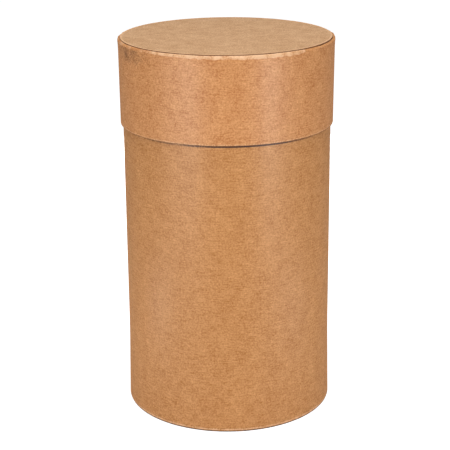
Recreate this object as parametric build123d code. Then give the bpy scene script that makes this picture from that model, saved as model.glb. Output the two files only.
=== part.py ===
from build123d import *
import os

# Fiber drum: a wound kraft board tube with a turned-in foot, closed by a slip-on lid.
# Millimetres, +Z up. The origin is on the floor, at the middle of the drum's foot.
# The front faces -Y, and the edges of the wound plies are at the back.

# Overall sizes
BODY_DIAMETER = 300.0  # outside of the plain wall
OVERALL_HEIGHT = 550.0  # floor to the top of the lid disc
LID_HEIGHT = 124.0  # mouth of the lid to the top of its disc

# Board, cut square at its edges
BODY_WALL = 3.0
LID_WALL = 2.8
BOTTOM_DISC_THICKNESS = 3.0
LID_DISC_THICKNESS = 3.0
PLY = 0.4  # one layer of paper, a step where the winding ends
DISC_GAP = 0.3  # around the edge of each disc

# Foot of the drum body, where the wall spreads over the bottom disc and turns in under it
FOOT_LEDGE = 11.0  # width of the ledge that carries the disc
FOOT_FOLD_RADIUS = 2.2  # outside of the fold
FOOT_FLARE = 2.3  # spread on the radius
FOOT_FLARE_HEIGHT = 115.0  # floor to where the spread begins
FOOT_FLARE_BLEND = 1000.0  # radius that blends the spread into the wall

# Lid rim, where the wall widens upwards, spreads and rolls in around the lid disc
LID_GAP = 0.9  # between the drum body and the mouth of the lid
LID_TAPER = 0.7  # on the radius, from the mouth to the spread
LID_LEDGE = 11.0  # width of the ledge that carries the disc
LID_SHOULDER_RADIUS = 3.4  # outside of the roll
LID_FLARE = 0.8  # spread on the radius
LID_FLARE_HEIGHT = 16.0  # crest of the shoulder down to where the spread begins
LID_FLARE_BLEND = 100.0  # radius that blends the spread into the wall
LID_LIP = 0.5  # flat of the crest beside the disc
LID_DISC_PROUD = 1.0  # top of the disc above the crest

# Where the last ply ends, in degrees about +Z from +X
BODY_LAP_TURN = 90.0
LID_LAP_TURN = 65.0

# Radii and heights that the pieces share
body_radius = BODY_DIAMETER / 2
body_bore_radius = body_radius - BODY_WALL
lid_mouth_radius = body_radius + LID_GAP
lid_neck_radius = lid_mouth_radius + LID_WALL + LID_TAPER
lid_rim_radius = lid_neck_radius + LID_FLARE
lid_seat_radius = lid_rim_radius - LID_SHOULDER_RADIUS - LID_LIP
lid_crest = OVERALL_HEIGHT - LID_DISC_PROUD
lid_seat = OVERALL_HEIGHT - LID_DISC_THICKNESS
body_top = lid_seat - LID_WALL


def section(corners):
    """The face in the XZ plane whose corners are (radius, height, corner rounding)."""
    points = [(radius, height) for radius, height, _ in corners]
    roundings = [rounding for _, _, rounding in corners]
    return make_face(Plane.XZ * FilletPolyline(*points, radius=roundings, close=True))


def wound(face, lap_turn):
    """A wound wall: two half turns of its section, about centres half a ply apart.

    They run into each other on one side. On the other the outer one stands a ply proud, and
    that step is the edge of the last ply.
    """
    inner_turn = revolve(face, Axis.Z, 180)
    outer_centre = Axis((PLY / 2, 0, 0), (0, 0, 1))
    outer_turn = revolve(Pos(PLY, 0, 0) * face, outer_centre, -180)
    return Rot(0, 0, lap_turn) * (inner_turn + outer_turn)


def board_disc(radius, thickness, underside):
    """A flat disc cut from board, at its place on the drum's axis."""
    return Pos(0, 0, underside) * extrude(Circle(radius), thickness)


def foot_bore_radius(height):
    """Inside of the spread wall at a height above the floor."""
    return body_bore_radius + FOOT_FLARE * (1 - height / FOOT_FLARE_HEIGHT)


def drum_body():
    """The wound tube, open at its top, with its lower end turned in to a flat foot."""
    ledge_radius = foot_bore_radius(BODY_WALL) - FOOT_LEDGE
    wall = section(
        [
            (ledge_radius, 0, 0),
            (body_radius + FOOT_FLARE, 0, FOOT_FOLD_RADIUS),
            (body_radius, FOOT_FLARE_HEIGHT, FOOT_FLARE_BLEND),
            (body_radius, body_top, 0),
            (body_bore_radius, body_top, 0),
            (body_bore_radius, FOOT_FLARE_HEIGHT, 0),
            (foot_bore_radius(BODY_WALL), BODY_WALL, 0),
            (ledge_radius, BODY_WALL, 0),
        ]
    )
    return wound(wall, BODY_LAP_TURN)


def bottom_disc():
    """The board disc that fills the spread end of the tube, lying on the turned-in ledge of the foot."""
    disc_top = BODY_WALL + BOTTOM_DISC_THICKNESS
    return board_disc(foot_bore_radius(disc_top) - DISC_GAP, BOTTOM_DISC_THICKNESS, BODY_WALL)


def lid_rim():
    """The wound ring of the lid: a plain mouth below, and a rolled shoulder above.

    The shoulder rolls in to a ledge. The ledge lies on the top edge of the drum body, and the
    lid disc is pressed into it, which leaves the crest standing around the disc.
    """
    mouth = OVERALL_HEIGHT - LID_HEIGHT
    ledge_radius = lid_neck_radius - LID_WALL - LID_LEDGE
    wall = section(
        [
            (lid_mouth_radius, mouth, 0),
            (lid_mouth_radius + LID_WALL, mouth, 0),
            (lid_neck_radius, lid_crest - LID_FLARE_HEIGHT, LID_FLARE_BLEND),
            (lid_rim_radius, lid_crest, LID_SHOULDER_RADIUS),
            (lid_seat_radius, lid_crest, 0),
            (lid_seat_radius, lid_seat, 0),
            (ledge_radius, lid_seat, 0),
            (ledge_radius, body_top, 0),
            (lid_neck_radius - LID_WALL, body_top, 0),
        ]
    )
    return wound(wall, LID_LAP_TURN)


def lid_disc():
    """The board disc of the lid, pressed into the rim and standing a little proud of it."""
    return board_disc(lid_seat_radius - DISC_GAP, LID_DISC_THICKNESS, lid_seat)


os.makedirs("parts", exist_ok=True)
for piece in (drum_body, bottom_disc, lid_rim, lid_disc):
    export_step(piece(), f"parts/{piece.__name__}.step")
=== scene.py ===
"""Looks of a kraft board drum: a wound tube, its bottom board and a slip-on lid with a rolled shoulder.

Every piece is a surface worked out on a grid of angle and section, in metres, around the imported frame.
The front of the drum faces -Y, and the edges of the wound plies are at the back.
"""
import math

import bpy
import numpy as np
from bpy.props import FloatProperty, FloatVectorProperty, PointerProperty
from mathutils import Matrix, Vector


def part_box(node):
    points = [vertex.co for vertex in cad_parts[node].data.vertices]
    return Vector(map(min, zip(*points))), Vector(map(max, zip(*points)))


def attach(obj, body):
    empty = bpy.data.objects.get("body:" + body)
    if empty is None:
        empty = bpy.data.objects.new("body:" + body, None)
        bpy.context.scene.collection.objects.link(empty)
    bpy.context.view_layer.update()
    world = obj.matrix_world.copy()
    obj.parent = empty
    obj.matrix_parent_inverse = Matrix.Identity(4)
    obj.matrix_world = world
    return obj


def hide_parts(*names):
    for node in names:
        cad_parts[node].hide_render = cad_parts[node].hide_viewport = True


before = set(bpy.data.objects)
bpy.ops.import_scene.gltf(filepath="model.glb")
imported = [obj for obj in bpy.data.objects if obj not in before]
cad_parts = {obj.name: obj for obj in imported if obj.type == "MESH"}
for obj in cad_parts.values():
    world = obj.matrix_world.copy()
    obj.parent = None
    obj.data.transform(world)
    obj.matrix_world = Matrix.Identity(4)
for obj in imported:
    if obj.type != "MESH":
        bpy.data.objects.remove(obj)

bl_info = {
    "name": "Kraft Board Drum",
    "version": (1, 0, 0),
    "blender": (4, 5, 0),
    "location": "View3D > Sidebar > Drum",
    "description": "Builds the looks of a wound kraft board drum and its slip-on lid around the packed frame",
    "category": "Add Mesh",
}

MM = 0.001
FULL_TURN = 2 * math.pi

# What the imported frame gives: the object's box, and where each piece lies
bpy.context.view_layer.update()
TUBE_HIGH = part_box("drum_body")[1]
RING_LOW, RING_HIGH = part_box("lid_rim")
TOP_LOW, TOP_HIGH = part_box("lid_disc")
BASE_LOW, BASE_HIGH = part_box("bottom_disc")

# Grid columns round each piece, and rows along a straight run or a small corner of its section
TUBE_COLUMNS = 1200
RING_COLUMNS = 1200
BOARD_COLUMNS = 720
TUBE_WALL_ROWS = 26
RING_WALL_ROWS = 18
LINING_ROWS = 12
ROLL_ROWS = 10
FOLD_ROWS = 8
CORNER_ROWS = 2
HIDDEN_CORNER_ROWS = 1
CUT_ROWS = 4
BOARD_RINGS = 30
END_ROW = 0.4 * MM  # from the end of a run to the row that keeps its shading flat
END_SHARE = 0.25  # the most of a run that this may be
LAP_EDGE = 0.25 * MM  # arc over which a ply's cut edge drops
BOARD_HUB = 2 * MM  # innermost ring of a board's grid, round its centre

# Finishes of a wound wall, in the order of its material slots
OUTER_PLY, CUT_EDGE, LINING = range(3)
SHEET_FACE, SHEET_EDGE = range(2)

# Seeds of the irregular shapes, of their wear and of the painted light and shade, so that each run gives the
# same drum
ROLL_SEED, CREST_SEED, MOUTH_SEED, RING_SEED, TUBE_SEED, BASE_SEED, TOP_SEED = range(11, 18)
FOOT_SEED, SHOULDER_SEED, LID_SHADE_SEED, DARK_PATCH_SEED = range(18, 22)


def linear(hex_colour):
    """A hex sRGB colour as linear red, green, blue and alpha."""
    channels = np.array([int(hex_colour[k : k + 2], 16) for k in (0, 2, 4)]) / 255
    low = channels / 12.92
    high = ((channels + 0.055) / 1.055) ** 2.4
    return (*np.where(channels <= 0.04045, low, high).tolist(), 1.0)


def length(name, description, default):
    """A length property in metres."""
    return FloatProperty(
        name=name,
        description=description,
        default=default,
        min=0,
        precision=5,
        unit="LENGTH",
        subtype="DISTANCE",
    )


def colour(name, description, hex_colour):
    """A colour property whose default is a hex sRGB value."""
    return FloatVectorProperty(
        name=name,
        description=description,
        default=linear(hex_colour),
        size=4,
        min=0,
        max=1,
        subtype="COLOR",
    )


class DrumSizes(bpy.types.PropertyGroup):
    """Sizes of the board walls that the frame's boxes don't give by themselves."""

    tube_radius: length("Tube radius", "Outside of the plain wall of the tube", 150 * MM)
    tube_wall: length("Tube wall", "Thickness of the tube's board", 3 * MM)
    foot_ledge: length("Foot ledge", "Width of the turned-in ledge under the bottom board", 11 * MM)
    foot_fold: length("Foot fold", "Outside radius of the fold at the foot", 2.2 * MM)
    foot_flare: length("Foot flare", "How far the wall spreads at the foot", 2.3 * MM)
    foot_flare_height: length("Foot flare height", "Floor to where the spread begins", 115 * MM)
    lid_gap: length("Lid gap", "Between the tube and the mouth of the lid", 0.9 * MM)
    lid_wall: length("Lid wall", "Thickness of the lid's board", 2.8 * MM)
    lid_taper: length("Lid taper", "How much wider the lid is above than at its mouth", 0.7 * MM)
    lid_flare: length("Lid flare", "How far the lid spreads under its shoulder", 0.8 * MM)
    lid_flare_height: length("Lid flare height", "Crest of the shoulder to where the spread begins", 16 * MM)
    lid_roll: length("Lid roll", "Outside radius of the rolled shoulder", 3.4 * MM)
    lid_ledge: length("Lid ledge", "Width of the ledge under the lid's board", 11 * MM)
    board_gap: length("Board gap", "Around the edge of each board", 0.3 * MM)
    ply: length("Ply", "One layer of paper, the step where the winding ends", 0.4 * MM)
    cut_round: length("Cut rounding", "Rounding of a knife-cut edge", 0.45 * MM)


class DrumColours(bpy.types.PropertyGroup):
    """Colours of the drum's papers."""

    tube_dark: colour("Tube ply, dark", "Dark fibres of the tube's calendered outer ply", "94571A")
    tube_light: colour("Tube ply, light", "Light fibres of the tube's calendered outer ply", "D19961")
    # The lid's tones are paler and bluer than the tube's, partly as painted sheen for the lid's stronger
    # highlights
    lid_dark: colour("Lid ply, dark", "Dark fibres of the lid's calendered outer ply", "9F5A20")
    lid_light: colour("Lid ply, light", "Light fibres of the lid's calendered outer ply", "DAA16B")
    # Rubbed fibres, and also the colour of the painted highlights on the shoulder, over the lid's mouth and
    # over the foot
    scuff_and_painted_highlight: colour("Scuffed", "Rubbed fibres along the folds", "DDB188")
    # Dirt, and also the colour of the painted shade under the lid's edge, along its mouth and at the foot's
    # fold, and of the dark patch
    soil_and_painted_shade: colour("Soiled", "Grime along the lid's edge and under the foot", "3A1B06")
    sheet_dark: colour("Lid sheet, dark", "Dark fibres of the sheet on the lid's board", "A17345")
    sheet_light: colour("Lid sheet, light", "Light fibres of the sheet on the lid's board", "E0B78F")
    lining_dark: colour("Lining, dark", "Dark fibres of the inner ply", "A9794E")
    lining_light: colour("Lining, light", "Light fibres of the inner ply", "CFA47A")
    edge_dark: colour("Cut edge, dark", "Glue lines between the plies of a cut edge", "5E3A1C")
    edge_light: colour("Cut edge, light", "Paper of a cut edge", "97673B")


# Surfaces


def straight(rows, span):
    """Rows of a straight run as shares from 0 to 1, with one more close to each end."""
    near = min(END_ROW / span, END_SHARE)
    return np.concatenate([[0.0], np.linspace(near, 1 - near, rows - 2), [1.0]])[:, None]


def arc(centre_radius, centre_height, size, start, end, rows=CORNER_ROWS):
    """Rows of an arc between two angles in degrees, centre plus size times cosine and sine, ends left out."""
    turn = np.radians(np.linspace(start, end, rows + 2)[1:-1, None])
    return centre_radius + size * np.cos(turn), centre_height + size * np.sin(turn)


def line(start, end, rows=2):
    """Rows of a straight run between two (radius, height) ends: start plus share times the difference."""
    reach = [float(np.max(np.abs(np.subtract(a, b)))) for a, b in zip(end, start)]
    share = straight(rows, max(reach)) if rows > 2 else np.array([[0.0], [1.0]])
    return start[0] + (end[0] - start[0]) * share, start[1] + (end[1] - start[1]) * share


def stack(runs, columns):
    """The runs of a section, each (radius and height rows, finish, wear and painted light), as grids of rows
    by columns.
    """
    grids, kinds = [], []
    for rows, kind, worn_and_lit in runs:
        count = max(len(np.atleast_2d(value)) for value in rows)
        grids.append([np.broadcast_to(value, (count, columns)) for value in (*rows, worn_and_lit)])
        kinds.append(np.full(count, kind))
    radius, height, wear_and_painted_light = (np.concatenate(parts) for parts in zip(*grids))
    return radius, height, wear_and_painted_light, np.concatenate(kinds)


def lap_columns(columns, radius):
    """Angles of a wound wall's columns, from the edge of its last ply round to just short of it again."""
    return np.linspace(0, FULL_TURN - LAP_EDGE / radius, columns)


def winding(turn, ply):
    """How far a wound wall stands out: nothing for half a turn, then half a ply times one plus the cosine."""
    return np.where(turn > math.pi, ply / 2 * (1 + np.cos(turn)), 0.0)


def waver(angle, seed, lowest, highest, count=12):
    """A sum of cosines round the axis, of whole numbers of waves, with seeded phases and a spread of one."""
    draw = np.random.default_rng(seed)
    waves = draw.integers(lowest, highest + 1, count)
    phases = draw.uniform(0, FULL_TURN, count)
    return np.cos(np.outer(waves, angle) + phases[:, None]).sum(0) * math.sqrt(2 / count)


def billow(angle, height, seed, lowest, highest, tallest, count=14):
    """As waver, and with each cosine also carried up the wall, by up to a wave in the tallest height."""
    draw = np.random.default_rng(seed)
    waves = draw.integers(lowest, highest + 1, count)
    climbs = draw.uniform(-1, 1, count) * FULL_TURN / tallest
    phases = draw.uniform(0, FULL_TURN, count)
    total = sum(np.cos(n * angle + k * height + p) for n, k, p in zip(waves, climbs, phases))
    return total * math.sqrt(2 / count)


def smooth(value, start, end):
    """Rises from 0 at start to 1 at end as three squares less two cubes."""
    share = np.clip((value - start) / (end - start), 0, 1)
    return share * share * (3 - 2 * share)


def stretch(value, start, full, fade, end):
    """One from full to fade, and down to nothing at start and end by the smooth rise."""
    return smooth(value, start, full) * (1 - smooth(value, fade, end))


def bell(value, place, spread):
    """One at its place, falling off on both sides as e to the minus square of distance over spread."""
    return np.exp(-(((value - place) / spread) ** 2))


def from_front(angle):
    """Angle from the front of the drum, positive to its right, between minus and plus half a turn."""
    return (angle + math.pi / 2 + math.pi) % FULL_TURN - math.pi


def quads(rows, columns, closed_rows):
    """Corner numbers of a grid's quads, which close round the columns, and round the rows if asked."""
    row, column = np.meshgrid(np.arange(rows - (not closed_rows)), np.arange(columns), indexing="ij")
    next_row, next_column = (row + 1) % rows, (column + 1) % columns
    corners = [row * columns + column, row * columns + next_column]
    corners += [next_row * columns + next_column, next_row * columns + column]
    return np.stack(corners, axis=-1).reshape(-1, 4)


def round_points(radius, height, angle):
    """Points of a grid: radius times cosine and sine of the column's angle, at the row's height."""
    return np.stack([radius * np.cos(angle), radius * np.sin(angle), height], axis=-1).reshape(-1, 3)


def make_piece(name, points, faces, uv, finish, wear_and_painted_light, materials):
    """A piece at the origin from its points and faces, with a UV map in metres and an attribute of wear and
    painted light and shade.
    """
    old = bpy.data.objects.get(name)
    if old:
        bpy.data.objects.remove(old)
    mesh = bpy.data.meshes.new(name)
    mesh.from_pydata(points, [], faces)
    uv_map = mesh.uv_layers.new(name="paper")
    uv_map.data.foreach_set("uv", np.ascontiguousarray(uv, np.float32).ravel())
    worn_and_lit = mesh.attributes.new("wear_and_painted_light", "FLOAT", "POINT")
    worn_and_lit.data.foreach_set("value", np.ascontiguousarray(wear_and_painted_light, np.float32))
    for material in materials:
        mesh.materials.append(material)
    mesh.polygons.foreach_set("material_index", np.ascontiguousarray(finish, np.int32))
    mesh.shade_smooth()
    mesh.validate()
    mesh.update()
    piece = bpy.data.objects.new(name, mesh)
    bpy.context.scene.collection.objects.link(piece)
    return piece


def wound_piece(name, section, turn, lap_turn, materials):
    """A closed wound wall: its section's grid carried round the axis from the lap, paper running round."""
    radius, height, wear_and_painted_light, finish = section
    rows, columns = radius.shape
    faces = quads(rows, columns, closed_rows=True)
    around = np.append(turn, FULL_TURN) * radius.max()
    steps = np.hypot(np.roll(radius, -1, 0) - radius, np.roll(height, -1, 0) - height).mean(1)
    along = np.concatenate([[0.0], np.cumsum(steps)])
    row, column = np.divmod(np.arange(rows * columns), columns)
    uv = np.stack(
        [
            np.stack([around[column], around[column + 1], around[column + 1], around[column]], axis=-1),
            np.stack([along[row], along[row], along[row + 1], along[row + 1]], axis=-1),
        ],
        axis=-1,
    )
    points = round_points(radius, height, turn + lap_turn)
    return make_piece(name, points, faces.tolist(), uv, np.repeat(finish, columns), wear_and_painted_light.ravel(), materials)


def board_piece(name, section, angle, materials):
    """A closed round board: rings from the middle of its underside round to the middle of its top."""
    radius, height, wear_and_painted_light, finish = section
    rows, columns = radius.shape
    rings = round_points(radius, height, angle)
    poles = np.array([[0, 0, height[0].mean()], [0, 0, height[-1].mean()]])
    points = np.concatenate([rings, poles])
    column = np.arange(columns)
    after = (column + 1) % columns
    last = (rows - 1) * columns
    under = np.stack([np.full(columns, rows * columns), after, column], axis=-1)
    over = np.stack([last + column, last + after, np.full(columns, rows * columns + 1)], axis=-1)
    body = quads(rows, columns, closed_rows=False)
    faces = body.tolist() + under.tolist() + over.tolist()
    uv = points[np.concatenate([body.ravel(), under.ravel(), over.ravel()]), :2]
    kinds = np.concatenate([np.repeat(finish[:-1], columns), np.full(2 * columns, SHEET_FACE)])
    return make_piece(name, points, faces, uv, kinds, np.append(wear_and_painted_light.ravel(), [0, 0]), materials)


# Sections of the pieces

TUBE_LAP_TURN, RING_LAP_TURN = math.radians(90), math.radians(65)
FOOT_FLARE_POWER, LID_FLARE_POWER = 1.1, 1.5  # ease each spread into its wall
WALL_CROWDING, LINING_CROWDING = 1.25, 0.8  # powers that crowd the tube's rows towards its foot

# How far each shape strays, the fewest and most waves of that round the axis, and its limits
TUBE_BULGE, TUBE_WAVES = 0.16 * MM, (2, 9)
TUBE_BULGE_FROM, TUBE_BULGE_FULL = 10 * MM, 80 * MM  # above the floor
TUBE_HELD = 60 * MM  # below the lid's mouth, where the lid begins to hold the tube round
RING_BULGE, RING_WAVES, RING_LIMITS = 0.12 * MM, (2, 11), (-2, 1)
ROLL_WANDER, ROLL_WAVES, ROLL_LIMITS = 0.6 * MM, (18, 90), (-1.6, 0.7)
CREST_WANDER, CREST_WAVES = 0.1 * MM, (5, 45)
MOUTH_WANDER, MOUTH_WAVES = 0.12 * MM, (3, 40)
SHEET_WANDER, SHEET_WAVES = 0.08 * MM, (1, 7)
SHEET_SWELL = FULL_TURN / 60  # metres, the shortest wave along a board's radius

# Wear makes the paper pale above nothing and dark below, for rubs and dirt as well as for painted highlights
# and painted shade: corners and flats of a cut edge, a board's rim
EDGE_CORNER_WEAR, EDGE_FLAT_WEAR = 0.4, 0.2
RIM_WEAR = 0.8
RIM_WORN = 4.5 * MM  # width of the rubbed rim
RIM_ROWS = np.array([0.25, 0.5, 1.0, 1.5])[:, None] * RIM_WORN  # in from the board's edge

# Painted shadow on the tube just under the lid's edge, darkest across the front, as wear below nothing in the
# soiled colour
LID_EDGE_SHADE, LID_EDGE_SHADE_FRONT = 0.3, 1.0
LID_EDGE_SHADE_MOTTLE, LID_EDGE_SHADE_WAVES = 0.1, (3, 30)
LID_EDGE_SHADE_PLACE, LID_EDGE_SHADE_SPREAD = math.radians(6), math.radians(37)
LID_EDGE_SHADE_ROWS = np.array([-3.5, -2.9, -2.3, -1.2, -0.4, 0.2])[:, None] * MM  # from the lid's edge

# The foot: painted contact shade with dirt on its fold, dirt on the underside, and a pale line round the wall
# over them that is partly scuff and partly painted highlight
FOOT_SHADE_AND_DIRT, FOOT_UNDER_GRIME = 0.9, 0.4
FOOT_SCUFF_AND_HIGHLIGHT, FOOT_MOTTLE, FOOT_WAVES = 0.75, 0.07, (4, 60)
FOOT_PALE_LINE_ROWS = np.array([0.5, 1.0, 2.0, 3.0, 4.5])[:, None] * MM  # over the fold

# On the right of the front the crest is pressed down, so that more of the lid board's edge shows
CREST_DIP = 0.65 * MM
CREST_DIP_STRETCH = np.radians([40, 56, 80, 100])  # from, full, fade and to, as angles from the front

# Across the front the shoulder is pressed wider, so that its fold lies lower
FOLD_SAG = 2.2 * MM
FOLD_SAG_STRETCH = np.radians([-45, 8, 38, 47])

# The lid's mouth: painted shade along its edge, and a pale line over it that is partly rub and partly painted
# highlight
MOUTH_EDGE_SHADE, MOUTH_EDGE_SHADE_FRONT = 0.6, 0.6
MOUTH_RUB_AND_HIGHLIGHT = 0.75
MOUTH_ROWS = np.array([0.3, 0.8, 1.3, 2.0, 2.8])[:, None] * MM  # over the edge

# Rub of the shoulder all round and at one corner, with a painted highlight across the front where the rolled
# edge catches the light
SHOULDER_RUB, SHOULDER_HIGHLIGHT_FRONT = 0.3, 0.5
SHOULDER_MOTTLE, SHOULDER_WAVES = 0.14, (5, 80)
SHOULDER_HIGHLIGHT_STRETCH = np.radians([-51, -39, 42.5, 44.5])
CORNER_RUB, CORNER_PLACE, CORNER_SPREAD = 0.38, math.radians(-70), math.radians(9)

# A darker, mottled patch on the left of the front, under the shoulder
DARK_PATCH_PLACE, DARK_PATCH_SPREAD = math.radians(-60), math.radians(17)
DARK_PATCH_ROWS = np.arange(6, 38, 4)[:, None] * MM  # below the crest
DARK_PATCH, DARK_PATCH_MOTTLE, DARK_PATCH_WAVES = 0.47, 0.07, (20, 60)
BLOTCH = 17 * MM  # height of its smallest blotches

# Creases across the shoulder: angle from the front, depth and width
PLEATS = (
    (math.radians(44.7), 0.9 * MM, 1.3 * MM),
    (math.radians(29), 0.35 * MM, 1.2 * MM),
    (math.radians(-31), 0.3 * MM, 1.6 * MM),
    (math.radians(-56), 0.35 * MM, 1.2 * MM),
    (math.radians(-65), 0.5 * MM, 1.2 * MM),
    (math.radians(-74), 0.45 * MM, 1.4 * MM),
    (math.radians(-82), 0.5 * MM, 1.2 * MM),
    (math.radians(118), 0.55 * MM, 1.5 * MM),
    (math.radians(163), 0.4 * MM, 1.8 * MM),
    (math.radians(-140), 0.6 * MM, 1.4 * MM),
)


def tube_section(sizes, turn):
    """The tube's section: wall up, top edge, lining down, ledge, foot and fold, as straight runs and arcs.

    The wall spreads below the flare's height by a power of the share that is left, and strays by a billow.
    """
    angle = turn + TUBE_LAP_TURN
    step = winding(turn, sizes.ply)
    outer = sizes.tube_radius + step
    bore = outer - sizes.tube_wall
    cut, wall, fold = sizes.cut_round, sizes.tube_wall, sizes.foot_fold
    top, mouth = TUBE_HIGH.z, RING_LOW.z

    def flare(height):
        return sizes.foot_flare * np.clip(1 - height / sizes.foot_flare_height, 0, 1) ** FOOT_FLARE_POWER

    def bulge(height):
        free = stretch(height, TUBE_BULGE_FROM, TUBE_BULGE_FULL, mouth - TUBE_HELD, mouth)
        return TUBE_BULGE * free * billow(angle, height, TUBE_SEED, *TUBE_WAVES, top)

    up = fold + (top - cut - fold) * straight(TUBE_WALL_ROWS, top) ** WALL_CROWDING
    up = np.sort(np.concatenate([up, mouth + LID_EDGE_SHADE_ROWS, fold + FOOT_PALE_LINE_ROWS]), axis=0)
    down = top - cut + (wall + 2 * cut - top) * straight(LINING_ROWS, top) ** LINING_CROWDING
    heel = outer + flare(fold) - fold
    inside = bore + flare(wall + cut)
    ledge = inside - sizes.foot_ledge
    # Foot: a pale line that is partly scuff and partly painted highlight, and painted contact shade with dirt
    # at the fold
    over_fold = up - fold
    scuff_and_highlight = FOOT_SCUFF_AND_HIGHLIGHT + FOOT_MOTTLE * waver(angle, FOOT_SEED, *FOOT_WAVES)
    foot_scuff_and_shade = scuff_and_highlight * stretch(over_fold, 0, *FOOT_PALE_LINE_ROWS[[1, 2, 4]])
    foot_scuff_and_shade = foot_scuff_and_shade - FOOT_SHADE_AND_DIRT * (1 - smooth(over_fold, 0, FOOT_PALE_LINE_ROWS[0]))
    # Painted shadow of the lid's overhang on the tube, carried by wear below nothing
    front = bell(from_front(angle), LID_EDGE_SHADE_PLACE, LID_EDGE_SHADE_SPREAD)
    lid_shade = LID_EDGE_SHADE + LID_EDGE_SHADE_FRONT * front
    lid_shade = lid_shade + LID_EDGE_SHADE_MOTTLE * waver(angle, LID_SHADE_SEED, *LID_EDGE_SHADE_WAVES)
    painted_edge_shade = lid_shade * stretch(up - mouth, *LID_EDGE_SHADE_ROWS[1:5])
    runs = [
        ((outer + flare(up) + bulge(up), up), OUTER_PLY, foot_scuff_and_shade - painted_edge_shade),
        (arc(outer - cut, top - cut, cut, 0, 90), CUT_EDGE, EDGE_CORNER_WEAR),
        (line((outer - cut, top), (bore + cut, top), CUT_ROWS), CUT_EDGE, EDGE_FLAT_WEAR),
        (arc(bore + cut, top - cut, cut, 90, 180), CUT_EDGE, EDGE_CORNER_WEAR),
        ((bore + flare(down) + bulge(down), down), LINING, 0.0),
        (arc(inside - cut, wall + cut, cut, 0, -90, HIDDEN_CORNER_ROWS), LINING, 0.0),
        (line((inside - cut, wall), (ledge + cut, wall)), LINING, 0.0),
        (arc(ledge + cut, wall - cut, cut, 90, 180, HIDDEN_CORNER_ROWS), CUT_EDGE, EDGE_FLAT_WEAR),
        (line((ledge, wall - cut), (ledge, cut)), CUT_EDGE, EDGE_FLAT_WEAR),
        (arc(ledge + cut, cut, cut, 180, 270, HIDDEN_CORNER_ROWS), CUT_EDGE, EDGE_FLAT_WEAR),
        (line((ledge + cut, 0.0), (heel, 0.0)), OUTER_PLY, -FOOT_UNDER_GRIME),
        (arc(heel, fold, fold, -90, 0, FOLD_ROWS), OUTER_PLY, -FOOT_SHADE_AND_DIRT),
    ]
    return stack(runs, len(turn))


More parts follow.
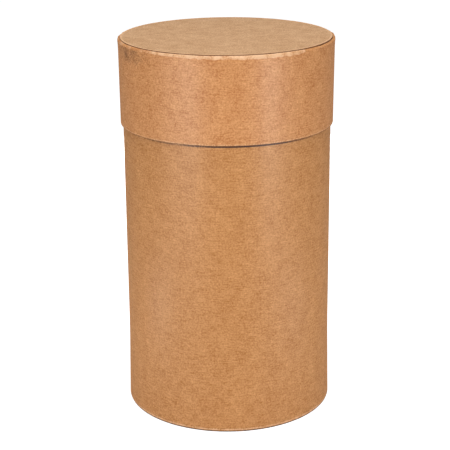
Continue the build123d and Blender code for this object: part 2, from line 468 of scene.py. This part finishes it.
def ring_section(sizes, turn):
    """The lid ring's section: wall up, rolled shoulder, lip, seat, ledge, lining down and mouth edge.

    The shoulder is a quarter round whose radius wavers with the angle, so that its fold line wanders, less
    creases that fall off as a bell curve on each side. Across the front it is a quarter of an ellipse that
    reaches further down. The crest dips on the right of that.
    """
    angle = turn + RING_LAP_TURN
    front = from_front(angle)
    step = winding(turn, sizes.ply)
    cut = sizes.cut_round
    lip_round = cut / 2
    mouth = RING_LOW.z + MOUTH_WANDER * (1 + np.clip(waver(angle, MOUTH_SEED, *MOUTH_WAVES), -1, 1))
    crest = RING_HIGH.z - CREST_WANDER * (1 + np.clip(waver(angle, CREST_SEED, *CREST_WAVES), -1, 1))
    crest -= CREST_DIP * stretch(front, *CREST_DIP_STRETCH)
    roll = sizes.lid_roll + ROLL_WANDER * np.clip(waver(angle, ROLL_SEED, *ROLL_WAVES), *ROLL_LIMITS)
    drop = roll + FOLD_SAG * stretch(front, *FOLD_SAG_STRETCH)
    mouth_radius = sizes.tube_radius + sizes.lid_gap + step
    seat, under = TOP_LOW.z, TUBE_HIGH.z
    seat_radius = TOP_HIGH.x + sizes.board_gap + step
    lip, nook = seat_radius + lip_round, seat_radius - lip_round
    neck = RING_HIGH.z - sizes.lid_flare_height
    span = RING_HIGH.z - RING_LOW.z

    def wall(height):
        widen = sizes.lid_taper * np.clip((height - RING_LOW.z) / (neck - RING_LOW.z), 0, 1)
        spread = sizes.lid_flare * np.clip((height - neck) / sizes.lid_flare_height, 0, 1) ** LID_FLARE_POWER
        stray = np.clip(billow(angle, height, RING_SEED, *RING_WAVES, 2 * span), *RING_LIMITS)
        return mouth_radius + sizes.lid_wall + widen + spread + RING_BULGE * (stray - RING_LIMITS[1])

    def lining(height):
        return mouth_radius + sizes.lid_taper * np.clip((height - RING_LOW.z) / (under - RING_LOW.z), 0, 1)

    rows = [straight(RING_WALL_ROWS, span), MOUTH_ROWS / span, 1 - DARK_PATCH_ROWS / span]
    share = np.sort(np.concatenate(rows), axis=0)
    up = mouth + cut + (crest - drop - mouth - cut) * share
    rim = wall(crest - drop)
    around_roll = np.radians(np.linspace(0, 90, ROLL_ROWS + 2)[1:-1, None])
    crease = sum(depth * bell(front, place, width / sizes.tube_radius) for place, depth, width in PLEATS)
    sunk = crease * np.sqrt(np.sin(2 * around_roll))
    shoulder = (
        rim - roll + (roll - sunk) * np.cos(around_roll),
        crest - drop + (drop - sunk) * np.sin(around_roll),
    )
    ledge = lining(under) - sizes.lid_ledge
    down = under - cut + (mouth + 2 * cut - under) * straight(LINING_ROWS, under - RING_LOW.z)
    # Shoulder: rub all round, and a painted highlight across the front
    rub_and_highlight = SHOULDER_RUB + SHOULDER_HIGHLIGHT_FRONT * stretch(front, *SHOULDER_HIGHLIGHT_STRETCH)
    corner = CORNER_RUB * bell(front, CORNER_PLACE, CORNER_SPREAD)
    scuff_and_highlight = rub_and_highlight + corner + SHOULDER_MOTTLE * waver(angle, SHOULDER_SEED, *SHOULDER_WAVES)
    over_edge = up - mouth - cut
    # Rub and painted highlight over the lid's mouth, then painted shade along its edge
    wall_rub_and_shade = MOUTH_RUB_AND_HIGHLIGHT * stretch(over_edge, *MOUTH_ROWS[[0, 2, 2, 4]])
    mouth_shade = MOUTH_EDGE_SHADE + MOUTH_EDGE_SHADE_FRONT * bell(front, LID_EDGE_SHADE_PLACE, LID_EDGE_SHADE_SPREAD)
    wall_rub_and_shade = wall_rub_and_shade - mouth_shade * (1 - smooth(over_edge, 0, MOUTH_ROWS[1]))
    # Darker, mottled patch under the shoulder, in the soiled colour
    patch = bell(front, DARK_PATCH_PLACE, DARK_PATCH_SPREAD) * (1 - smooth(crest - up, *DARK_PATCH_ROWS[[2, -1]]))
    dark_patch = patch * (DARK_PATCH + DARK_PATCH_MOTTLE * billow(angle, up, DARK_PATCH_SEED, *DARK_PATCH_WAVES, BLOTCH))
    runs = [
        ((wall(up), up), OUTER_PLY, wall_rub_and_shade - dark_patch),
        (shoulder, OUTER_PLY, scuff_and_highlight),
        (line((rim - roll, crest), (lip, crest)), OUTER_PLY, scuff_and_highlight),
        (arc(lip, crest - lip_round, lip_round, 90, 180, HIDDEN_CORNER_ROWS), CUT_EDGE, 0.0),
        (line((seat_radius, crest - lip_round), (seat_radius, seat + lip_round)), CUT_EDGE, 0.0),
        (arc(nook, seat + lip_round, lip_round, 0, -90, HIDDEN_CORNER_ROWS), CUT_EDGE, 0.0),
        (line((nook, seat), (ledge + cut, seat)), LINING, 0.0),
        (arc(ledge + cut, seat - cut, cut, 90, 180, HIDDEN_CORNER_ROWS), CUT_EDGE, EDGE_FLAT_WEAR),
        (line((ledge, seat - cut), (ledge, under + cut)), CUT_EDGE, EDGE_FLAT_WEAR),
        (arc(ledge + cut, under + cut, cut, 180, 270, HIDDEN_CORNER_ROWS), CUT_EDGE, EDGE_FLAT_WEAR),
        (line((ledge + cut, under), (lining(under) - cut, under)), LINING, 0.0),
        (arc(lining(under) - cut, under - cut, cut, 90, 0, HIDDEN_CORNER_ROWS), LINING, 0.0),
        ((lining(down), down), LINING, 0.0),
        (arc(mouth_radius + cut, mouth + cut, cut, 180, 270), CUT_EDGE, EDGE_CORNER_WEAR),
        (line((mouth_radius + cut, mouth), (wall(mouth) - cut, mouth)), CUT_EDGE, EDGE_FLAT_WEAR),
        (arc(wall(mouth + cut) - cut, mouth + cut, cut, 270, 360), OUTER_PLY, -mouth_shade),
    ]
    return stack(runs, len(turn))


def board_section(low, high, cut, angle, seed):
    """A round board's section: underside out, cut edge up and top in, with the top sunk by a slow waver."""
    radius = high.x
    share = np.linspace(0, 1, BOARD_RINGS)[:, None]
    outward = BOARD_HUB + (radius - cut - BOARD_HUB) * share
    inward = np.concatenate([outward[-1:], radius - cut - RIM_ROWS, outward[-3::-1]])
    swell = np.clip(billow(angle, inward, seed, *SHEET_WAVES, SHEET_SWELL), -1, 1)
    droop = SHEET_WANDER * (1 - swell) * smooth(inward, 0, radius)
    rubbed = RIM_WEAR * smooth(inward, radius - RIM_WORN, radius - RIM_WORN / 2)
    runs = [
        ((outward, low.z), SHEET_FACE, 0.0),
        (arc(radius - cut, low.z + cut, cut, -90, 0), SHEET_EDGE, 0.0),
        (line((radius, low.z + cut), (radius, high.z - cut), CUT_ROWS), SHEET_EDGE, 0.0),
        (arc(radius - cut, high.z - cut, cut, 0, 90), SHEET_FACE, RIM_WEAR),
        ((inward, high.z - droop), SHEET_FACE, rubbed),
    ]
    return stack(runs, len(angle))


# Materials

LINING_PAPER, CUT_BOARD = "unglazed_kraft_lining", "knife_cut_board_edge"  # shared by several pieces
CLOUD = 16  # millimetres across the clouds of a paper's formation
SPECK = 2.3  # millimetres, clumps of fibres: real ones are finer, drawn as coarse as the render can show
HAIR_LENGTH, HAIR_WIDTH = 14, 1.6  # millimetres, long fibres along the roll, drawn coarse to show
CLOUD_SHARE, SPECK_SHARE, HAIR_SHARE = 0.33, 1.1, 0.5  # of each in the tone of the fibres
COCKLE = 34  # millimetres, gentle swells of damp-glued paper
COCKLE_SHARE = 2.0  # depth of the swells beside that of the clumps
PAPER_BUMP = 0.6
FIBRE_ROUGHNESS = 0.8
GLAZE_IOR = 2.6
# Wear plus clump tone at which the pale colour of rubs and painted highlights begins to show and at which it
# shows alone, then the same for the dark colour of dirt and painted shade, which comes in as the wear falls
# below nothing
FRAY_AND_HIGHLIGHT_FROM, FRAY_AND_HIGHLIGHT_FULL = 0.95, 1.4
SOIL_AND_SHADE_FROM, SOIL_AND_SHADE_FULL = 0.3, -0.5
# A cut edge: millimetres between its glue lines, two plies each so that they show, and how much they darken
PLY_SPACING = 0.8
GLUE_SHARE = 0.25
EDGE_BUMP, EDGE_TOOTH, EDGE_ROUGHNESS = 0.7, 0.2 * MM, 0.85
MIX_FIRST, MIX_SECOND, MIX_RESULT = 6, 7, 2  # numbers of a Mix node's colour sockets


def per_metre(millimetres):
    """A noise texture's scale for features of that size on coordinates in metres."""
    return 1 / (millimetres * MM)


def add(tree, kind, inputs=None, **settings):
    """Adds a node with its settings, and sets or links each of its inputs."""
    node = tree.nodes.new(kind)
    for key, value in settings.items():
        setattr(node, key, value)
    for key, value in (inputs or {}).items():
        if isinstance(value, bpy.types.NodeSocket):
            tree.links.new(value, node.inputs[key])
        else:
            node.inputs[key].default_value = value
    return node


def calculate(tree, operation, *values):
    """The result of a Math node on up to three values or sockets."""
    return add(tree, "ShaderNodeMath", dict(enumerate(values)), operation=operation).outputs[0]


def map_range(tree, value, start, end, low=0.0, high=1.0):
    """A value carried in a straight line from start and end to low and high, and held beyond them."""
    return add(tree, "ShaderNodeMapRange", dict(enumerate((value, start, end, low, high)))).outputs[0]


def noise(tree, place, scale, **sockets):
    """The value of a noise texture at a place, with its other sockets by their names."""
    return add(tree, "ShaderNodeTexNoise", {"Vector": place, "Scale": scale, **sockets}).outputs[0]


def blend(tree, share, first, second):
    """A colour between two others, by a share from 0 to 1."""
    mix = add(tree, "ShaderNodeMix", {0: share, MIX_FIRST: first, MIX_SECOND: second}, data_type="RGBA")
    return mix.outputs[MIX_RESULT]


def new_material(name):
    """An empty node material, in place of one of the same name."""
    old = bpy.data.materials.get(name)
    if old:
        bpy.data.materials.remove(old)
    material = bpy.data.materials.new(name)
    material.use_nodes = True
    material.node_tree.nodes.clear()
    return material


def paper(name, colours, kind, contrast, glaze, sheen, tooth):
    """A kraft paper: clouds, fibre clumps and long fibres between two tones, made pale by rubs and painted
    highlights, and dark by dirt and painted shade.

    The fibres are matt. Only the share of them that pressing has flattened is glazed, so that the sheen stays
    weak where the wall turns away. kind names the pair of tones, contrast scales the fibres between them,
    glaze is the glazed share, sheen is its roughness, and tooth is the depth of the bump in metres.
    """
    dark, light = getattr(colours, kind + "_dark"), getattr(colours, kind + "_light")
    material = new_material(name)
    tree = material.node_tree
    place = add(tree, "ShaderNodeTexCoord").outputs["Object"]
    paper_uv = add(tree, "ShaderNodeUVMap", uv_map="paper").outputs["UV"]
    hair_scale = (per_metre(HAIR_LENGTH), per_metre(HAIR_WIDTH), 1.0)
    run = add(tree, "ShaderNodeMapping", {"Vector": paper_uv, "Scale": hair_scale}).outputs[0]
    cloud = noise(tree, place, per_metre(CLOUD), Detail=3.0)
    speck = noise(tree, place, per_metre(SPECK), Detail=3.0, Roughness=0.65)
    hair = noise(tree, run, 1.0, Detail=2.0, Distortion=0.4)
    swell = noise(tree, place, per_metre(COCKLE), Detail=1.0)
    mottle = ((cloud, CLOUD_SHARE), (speck, SPECK_SHARE), (hair, HAIR_SHARE))
    tone = 0.5 - contrast * sum(share for _, share in mottle) / 2
    for value, share in mottle:
        tone = calculate(tree, "MULTIPLY_ADD", value, contrast * share, tone)
    # The wear attribute carries painted highlights and painted shade along with real rubs and dirt
    worn_and_lit = add(tree, "ShaderNodeAttribute", attribute_name="wear_and_painted_light").outputs["Fac"]
    wear_light_and_speck = calculate(tree, "ADD", worn_and_lit, speck)
    shade = blend(tree, tone, dark, light)
    shade = blend(tree, map_range(tree, wear_light_and_speck, FRAY_AND_HIGHLIGHT_FROM, FRAY_AND_HIGHLIGHT_FULL), shade, colours.scuff_and_painted_highlight)
    shade = blend(tree, map_range(tree, wear_light_and_speck, SOIL_AND_SHADE_FROM, SOIL_AND_SHADE_FULL), shade, colours.soil_and_painted_shade)
    relief = calculate(tree, "MULTIPLY_ADD", swell, COCKLE_SHARE, speck)
    bump = add(tree, "ShaderNodeBump", {"Strength": PAPER_BUMP, "Distance": tooth, "Height": relief})
    shader = add(
        tree,
        "ShaderNodeBsdfPrincipled",
        {
            "Base Color": shade,
            "Roughness": FIBRE_ROUGHNESS,
            "Specular IOR Level": 0.0,
            "Normal": bump.outputs[0],
            "Coat Weight": glaze,
            "Coat IOR": GLAZE_IOR,
            "Coat Roughness": sheen,
            "Coat Normal": bump.outputs[0],
        },
    )
    add(tree, "ShaderNodeOutputMaterial", {"Surface": shader.outputs[0]})
    return material


def calendered_kraft(colours, kind):
    """Outer ply pressed between hot rollers: close mottled fibres with a soft silky sheen.

    The lid's pair of tones is paler and bluer than the tube's, partly as painted sheen for the lid's stronger
    highlights, and kind says which of the two it is.
    """
    name = f"calendered_kraft_{kind}_ply"
    return paper(name, colours, kind, contrast=1.55, glaze=0.16, sheen=0.42, tooth=0.12 * MM)


def kraft_sheet(colours):
    """Uncoated sheet on the lid's board: paler and flatter than the walls, with a duller sheen."""
    name = "uncoated_kraft_sheet"
    return paper(name, colours, "sheet", contrast=1.75, glaze=0.15, sheen=0.5, tooth=0.08 * MM)


def kraft_lining(colours):
    """Inner ply as it came off the roll: matt, a little greyer, with the fibres open."""
    return paper(LINING_PAPER, colours, "lining", contrast=1.0, glaze=0.05, sheen=0.6, tooth=0.15 * MM)


def cut_board(colours):
    """Knife-cut edge of wound board: rings of paper with darker glue lines, rough and matt."""
    material = new_material(CUT_BOARD)
    tree = material.node_tree
    place = add(tree, "ShaderNodeTexCoord").outputs["Object"]
    parts = add(tree, "ShaderNodeSeparateXYZ", {0: place})
    flat = add(tree, "ShaderNodeCombineXYZ", {0: parts.outputs[0], 1: parts.outputs[1]})
    radius = add(tree, "ShaderNodeVectorMath", {0: flat.outputs[0]}, operation="LENGTH").outputs["Value"]
    rings = calculate(tree, "MULTIPLY", radius, FULL_TURN * per_metre(PLY_SPACING))
    fuzz = noise(tree, place, per_metre(SPECK / 2), Detail=3.0)
    tone = calculate(tree, "MULTIPLY_ADD", calculate(tree, "SINE", rings), GLUE_SHARE, fuzz)
    shade = blend(tree, tone, colours.edge_dark, colours.edge_light)
    bump = add(tree, "ShaderNodeBump", {"Strength": EDGE_BUMP, "Distance": EDGE_TOOTH, "Height": tone})
    shader = add(
        tree,
        "ShaderNodeBsdfPrincipled",
        {"Base Color": shade, "Roughness": EDGE_ROUGHNESS, "Normal": bump.outputs[0]},
    )
    add(tree, "ShaderNodeOutputMaterial", {"Surface": shader.outputs[0]})
    return material


# Stage

# The camera of the photograph, from fitting the drum's outline: focal length in pixels of a 450 pixel frame
PHOTO_WIDTH = 450
PHOTO_FOCAL = 1331.6
SENSOR = 36.0  # millimetres
CAMERA_PLACE = (-4.0 * MM, -1883.7 * MM, 887.1 * MM)
CAMERA_PITCH = math.radians(18.284)
CAMERA_ROLL = math.radians(-0.5)

FLOOR_HALF = 7.0
FLOOR_DROP = 0.05 * MM  # below the foot, so that the two don't fight
FLOOR_ALBEDO = 0.75
# The sweep's own white as the camera sees it: less near the drum, so that the contact shadow shows
NEAR_GLOW, FAR_GLOW = 0.8, 1.0
NEAR_REACH, FAR_REACH = 0.2, 0.9  # metres from the drum's axis
AMBIENT = 0.03

# Softboxes: name, azimuth from the front, elevation, distance, width, height and watts
SOFTBOXES = (
    ("left_outer_strip", -56, -8, 1.6, 0.4, 0.7, 3.4),
    ("left_inner_strip", -36, -3, 1.6, 0.3, 0.6, 7.1),
    ("right_inner_strip", 43, -3, 1.6, 0.3, 0.6, 8.3),
    ("right_outer_strip", 60, -8, 1.6, 0.4, 0.7, 1.3),
    ("left_low_fill", -70, -40, 0.6, 0.25, 0.08, 0.23),
    ("right_low_fill", 66, -40, 0.6, 0.25, 0.08, 0.18),
    ("front_softbox", 2, 45, 1.8, 1.2, 0.5, 12.0),
    ("top_softbox", 0, 86, 1.5, 1.6, 0.5, 16.9),
)
# A fill behind the drum, out of the photograph's sight, so that its back isn't lost in the dark
BACK_FILL = ("back_fill", 180, -6, 1.6, 0.6, 0.7, 14.0)
AIM = Vector((0, 0, 0.44))


def ray_share(tree):
    """One for rays from the camera and for mirror and glass rays, else nothing."""
    path = add(tree, "ShaderNodeLightPath").outputs
    seen = calculate(tree, "MAXIMUM", path["Is Camera Ray"], path["Is Glossy Ray"])
    return calculate(tree, "MAXIMUM", seen, path["Is Transmission Ray"])


def white_floor():
    """Matt white paper sweep: a plain white that keeps the drum's soft shadow."""
    material = new_material("matt_white_sweep")
    tree = material.node_tree
    diffuse = add(tree, "ShaderNodeBsdfDiffuse", {"Color": (FLOOR_ALBEDO, FLOOR_ALBEDO, FLOOR_ALBEDO, 1.0)})
    place = add(tree, "ShaderNodeTexCoord").outputs["Object"]
    reach = add(tree, "ShaderNodeVectorMath", {0: place}, operation="LENGTH").outputs["Value"]
    white = map_range(tree, reach, NEAR_REACH, FAR_REACH, NEAR_GLOW, FAR_GLOW)
    glow = add(tree, "ShaderNodeEmission", {"Strength": calculate(tree, "MULTIPLY", ray_share(tree), white)})
    both = add(tree, "ShaderNodeAddShader", {0: diffuse.outputs[0], 1: glow.outputs[0]})
    add(tree, "ShaderNodeOutputMaterial", {"Surface": both.outputs[0]})
    return material


def white_world():
    """A white room: full white where it is seen, and a soft ambient light elsewhere."""
    world = bpy.data.worlds.new("white_room")
    world.use_nodes = True
    tree = world.node_tree
    tree.nodes.clear()
    strength = map_range(tree, ray_share(tree), 0.0, 1.0, low=AMBIENT)
    back = add(tree, "ShaderNodeBackground", {"Color": (1, 1, 1, 1), "Strength": strength})
    add(tree, "ShaderNodeOutputWorld", {"Surface": back.outputs[0]})
    bpy.context.scene.world = world


def floor():
    """A flat square of floor just under the drum's foot."""
    half, drop = FLOOR_HALF, -FLOOR_DROP
    mesh = bpy.data.meshes.new("floor")
    corners = [(-half, -half, drop), (half, -half, drop), (half, half, drop), (-half, half, drop)]
    mesh.from_pydata(corners, [], [(0, 1, 2, 3)])
    mesh.materials.append(white_floor())
    ground = bpy.data.objects.new("floor", mesh)
    bpy.context.scene.collection.objects.link(ground)


def softbox(name, azimuth, elevation, distance, width, height, watts):
    """A rectangular area lamp that looks at the axis just above the lid's mouth."""
    lamp = bpy.data.lights.new(name, "AREA")
    lamp.shape = "RECTANGLE"
    lamp.size, lamp.size_y, lamp.energy = width, height, watts
    turn, rise = math.radians(azimuth), math.radians(elevation)
    back = Vector((math.sin(turn) * math.cos(rise), -math.cos(turn) * math.cos(rise), math.sin(rise)))
    holder = bpy.data.objects.new(name, lamp)
    holder.visible_camera = False
    holder.location = AIM + back * distance
    holder.rotation_euler = (-back).to_track_quat("-Z", "Y").to_euler()
    bpy.context.scene.collection.objects.link(holder)
    return holder


def photo_camera():
    """The camera at the photograph's place, level but for its small roll, with no shift."""
    lens = bpy.data.cameras.new("photo_camera")
    lens.sensor_width = SENSOR
    lens.lens = PHOTO_FOCAL / PHOTO_WIDTH * SENSOR
    camera = bpy.data.objects.new("photo_camera", lens)
    look = Matrix.Rotation(math.pi / 2 - CAMERA_PITCH, 4, "X") @ Matrix.Rotation(CAMERA_ROLL, 4, "Z")
    camera.matrix_world = Matrix.Translation(CAMERA_PLACE) @ look
    bpy.context.scene.collection.objects.link(camera)
    bpy.context.scene.camera = camera


# Operators


class DRUM_OT_tube(bpy.types.Operator):
    """Builds the wound tube with its turned-in foot"""

    bl_idname = "drum.tube"
    bl_label = "Wound Tube"

    def execute(self, context):
        sizes, colours = context.scene.drum_sizes, context.scene.drum_colours
        turn = lap_columns(TUBE_COLUMNS, sizes.tube_radius)
        finishes = [calendered_kraft(colours, "tube"), cut_board(colours), kraft_lining(colours)]
        piece = wound_piece("tube_wall", tube_section(sizes, turn), turn, TUBE_LAP_TURN, finishes)
        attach(piece, "drum")
        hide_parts("drum_body")
        return {"FINISHED"}


class DRUM_OT_bottom_board(bpy.types.Operator):
    """Builds the board that closes the bottom of the tube"""

    bl_idname = "drum.bottom_board"
    bl_label = "Bottom Board"

    def execute(self, context):
        sizes = context.scene.drum_sizes
        angle = np.linspace(0, FULL_TURN, BOARD_COLUMNS, endpoint=False)
        section = board_section(BASE_LOW, BASE_HIGH, sizes.cut_round, angle, BASE_SEED)
        finishes = [bpy.data.materials[name] for name in (LINING_PAPER, CUT_BOARD)]
        piece = board_piece("bottom_board", section, angle, finishes)
        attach(piece, "drum")
        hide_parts("bottom_disc")
        return {"FINISHED"}


class DRUM_OT_lid_ring(bpy.types.Operator):
    """Builds the wound ring of the lid with its rolled shoulder"""

    bl_idname = "drum.lid_ring"
    bl_label = "Lid Ring"

    def execute(self, context):
        sizes, colours = context.scene.drum_sizes, context.scene.drum_colours
        turn = lap_columns(RING_COLUMNS, sizes.tube_radius)
        shared = [bpy.data.materials[name] for name in (CUT_BOARD, LINING_PAPER)]
        finishes = [calendered_kraft(colours, "lid"), *shared]
        piece = wound_piece("lid_ring", ring_section(sizes, turn), turn, RING_LAP_TURN, finishes)
        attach(piece, "lid")
        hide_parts("lid_rim")
        return {"FINISHED"}


class DRUM_OT_lid_board(bpy.types.Operator):
    """Builds the board of the lid, let into the shoulder"""

    bl_idname = "drum.lid_board"
    bl_label = "Lid Board"

    def execute(self, context):
        sizes, colours = context.scene.drum_sizes, context.scene.drum_colours
        angle = np.linspace(0, FULL_TURN, BOARD_COLUMNS, endpoint=False)
        section = board_section(TOP_LOW, TOP_HIGH, sizes.cut_round / 2, angle, TOP_SEED)
        finishes = [kraft_sheet(colours), bpy.data.materials[CUT_BOARD]]
        piece = board_piece("lid_board", section, angle, finishes)
        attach(piece, "lid")
        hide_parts("lid_disc")
        return {"FINISHED"}


class DRUM_OT_stage(bpy.types.Operator):
    """Sets the white floor, the softboxes and the camera"""

    bl_idname = "drum.stage"
    bl_label = "Stage"

    def execute(self, context):
        context.scene.view_settings.view_transform = "Standard"
        white_world()
        floor()
        for box in SOFTBOXES:
            softbox(*box)
        softbox(*BACK_FILL).visible_glossy = False
        photo_camera()
        return {"FINISHED"}


class DRUM_PT_panel(bpy.types.Panel):
    """Lists the drum's pieces and their sizes"""

    bl_idname = "DRUM_PT_panel"
    bl_label = "Kraft Board Drum"
    bl_space_type = "VIEW_3D"
    bl_region_type = "UI"
    bl_category = "Drum"

    def draw(self, context):
        for operator in OPERATORS:
            self.layout.operator(operator.bl_idname)
        for group in (context.scene.drum_sizes, context.scene.drum_colours):
            box = self.layout.box()
            for name in group.__annotations__:
                box.prop(group, name)


OPERATORS = (DRUM_OT_tube, DRUM_OT_bottom_board, DRUM_OT_lid_ring, DRUM_OT_lid_board, DRUM_OT_stage)
CLASSES = (DrumSizes, DrumColours, *OPERATORS, DRUM_PT_panel)


def register():
    """Registers the classes and hangs the drum's settings on the scene."""
    for item in CLASSES:
        bpy.utils.register_class(item)
    bpy.types.Scene.drum_sizes = PointerProperty(type=DrumSizes)
    bpy.types.Scene.drum_colours = PointerProperty(type=DrumColours)


def unregister():
    """Takes the settings off the scene and unregisters the classes."""
    del bpy.types.Scene.drum_colours
    del bpy.types.Scene.drum_sizes
    for item in reversed(CLASSES):
        bpy.utils.unregister_class(item)


def main():
    register()
    bpy.ops.drum.tube()
    bpy.ops.drum.bottom_board()
    bpy.ops.drum.lid_ring()
    bpy.ops.drum.lid_board()
    bpy.ops.drum.stage()


if __name__ == "__main__":
    main()
